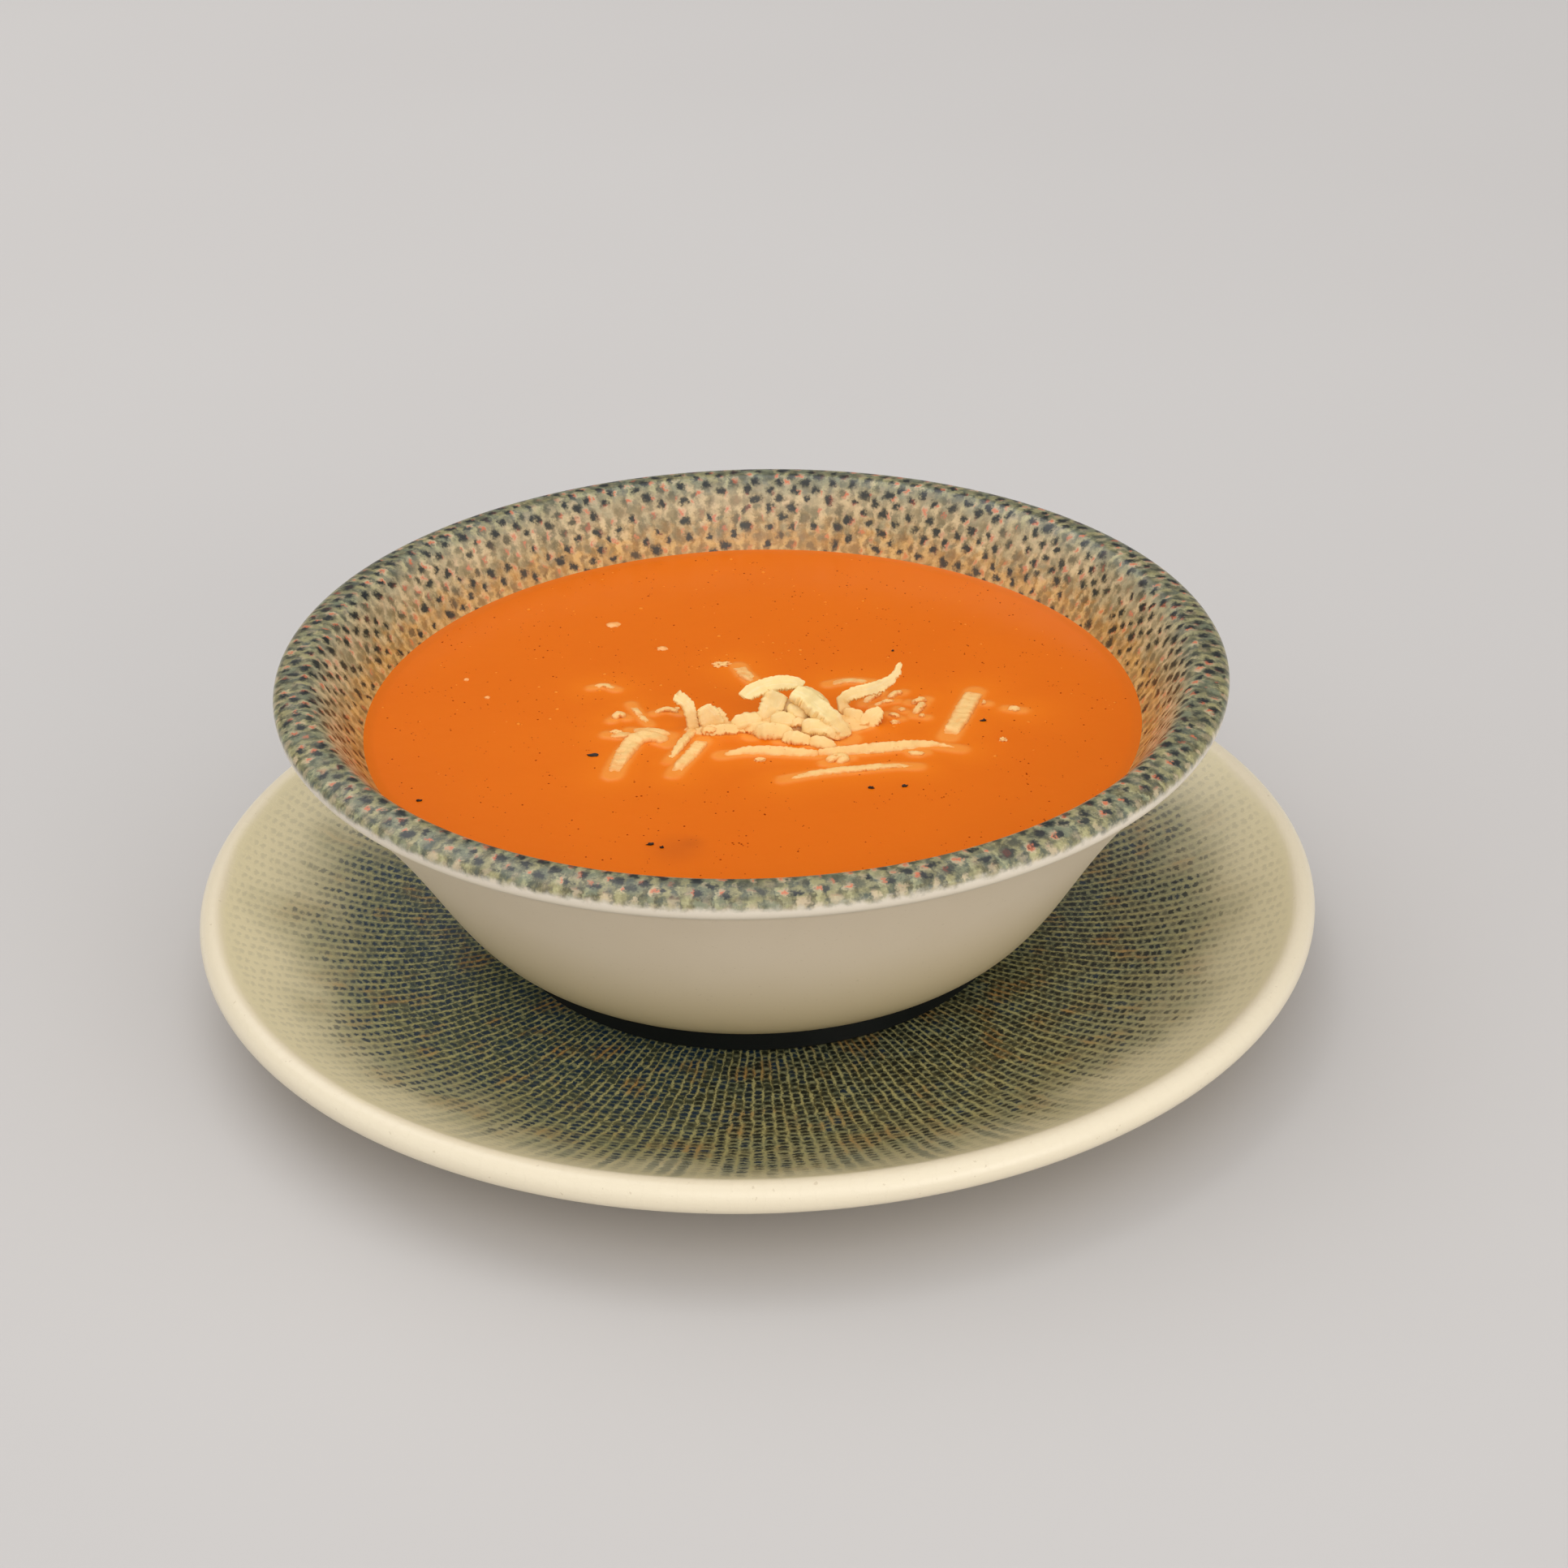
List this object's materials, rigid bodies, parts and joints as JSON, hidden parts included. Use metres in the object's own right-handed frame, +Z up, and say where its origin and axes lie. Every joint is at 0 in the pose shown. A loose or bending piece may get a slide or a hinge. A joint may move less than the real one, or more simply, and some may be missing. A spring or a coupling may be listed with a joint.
{
  "type": "tomato soup in a bowl on a plate",
  "caption": "Smooth tomato soup with grated cheese on top, in a rimmed ceramic bowl that stands on a round plate with a rolled edge.",
  "frame": {"origin": "on the surface that the plate stands on, on the axis of the bowl and the plate", "axes": "+Z up along the axis of the bowl and the plate, +Y away from the side that the picture shows, +X to the right in the picture"},
  "size_m": [0.1986, 0.1986, 0.0611],
  "materials": {
    "bowl_glaze": "glazed ceramic, cream outside, with a woven print in navy, sage and orange on the lip and inside",
    "plate_glaze": "glazed ceramic with a fine woven print that fades from dark teal in the middle to a cream edge",
    "soup": "thick smooth orange soup with a soft gloss",
    "cheese": "pale yellow grated cheese, slightly moist"
  },
  "bodies": {
    "root": {"bowl": "bowl_glaze", "plate": "plate_glaze", "soup": "soup", "cheese_heap": "cheese", "cheese_fold_left": "cheese", "cheese_strip_left": "cheese", "cheese_strip_right": "cheese", "cheese_strip_front": "cheese", "cheese_flake_back": "cheese", "cheese_flake_right": "cheese", "cheese_sliver_left": "cheese"}
  },
  "joints": []
}
